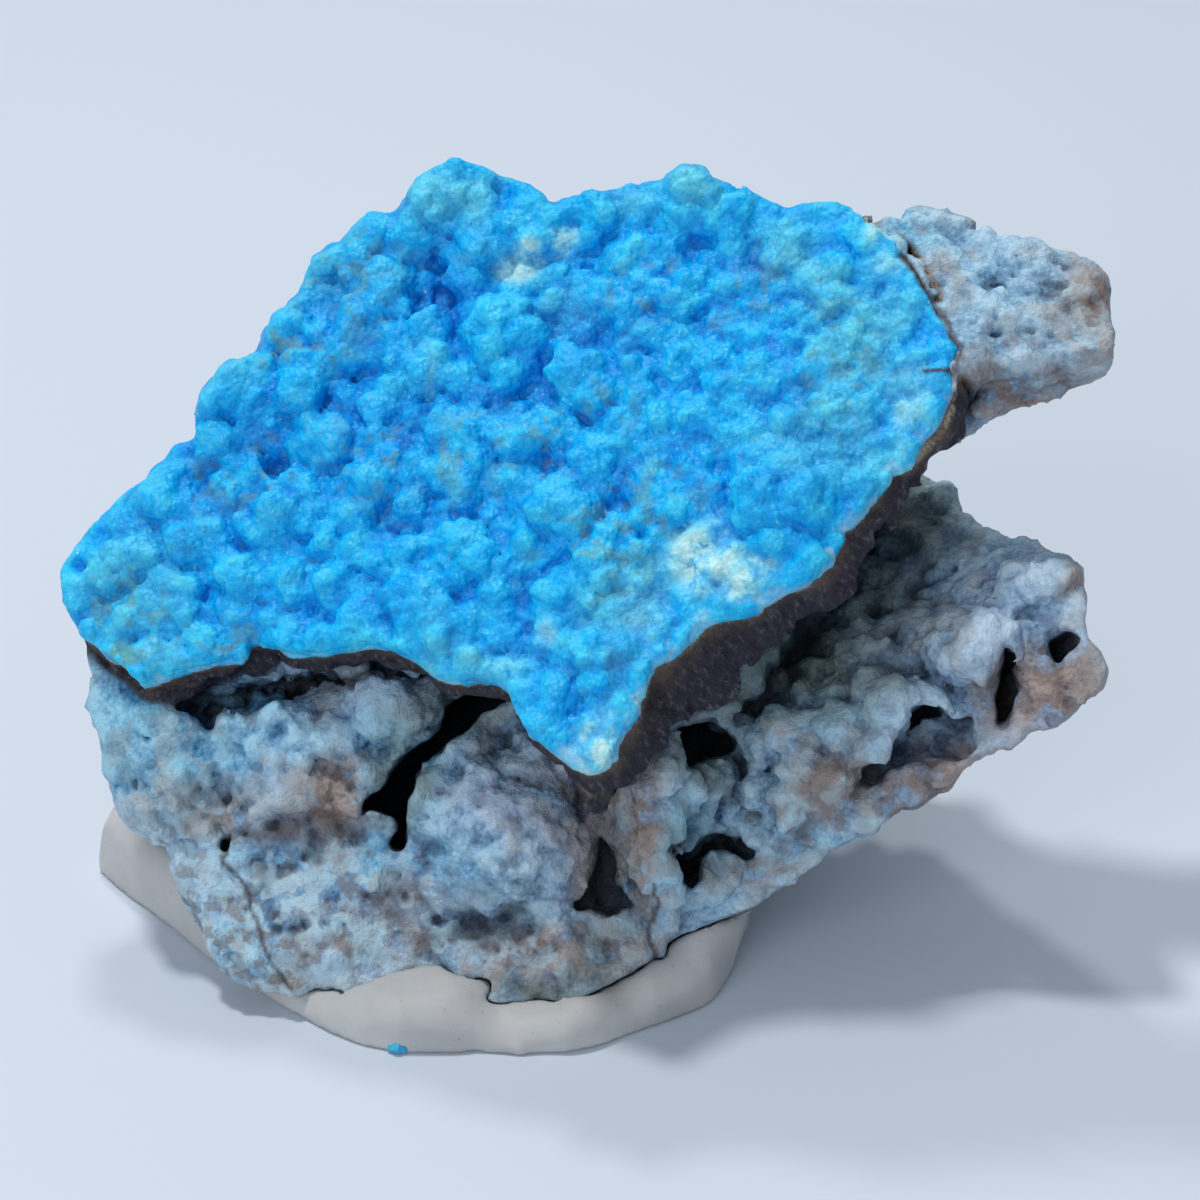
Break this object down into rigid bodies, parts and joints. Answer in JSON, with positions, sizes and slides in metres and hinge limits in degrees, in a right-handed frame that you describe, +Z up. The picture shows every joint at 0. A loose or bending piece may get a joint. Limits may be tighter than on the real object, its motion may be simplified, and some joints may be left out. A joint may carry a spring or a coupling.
{
  "type": "mineral specimen in mounting putty",
  "caption": "Jagged vuggy rock with a tilted plate of sky-blue botryoidal crust over a cave and a rising shelf, standing in a pressed lump of white putty.",
  "frame": {"origin": "on the flat underside of the putty lump, under the middle of the stone", "axes": "+Z up, +X to the right of the display side along the stone's longest extent, -Y towards the display side"},
  "size_m": [0.0754, 0.0441, 0.0532],
  "materials": {
    "allophane_rock": "sky-blue sugary crust on pale blue-grey and brown porous rock",
    "putty": "matte off-white hand-pressed putty"
  },
  "bodies": {
    "root": {"allophane_specimen": "allophane_rock", "mounting_putty": "putty"}
  },
  "joints": []
}
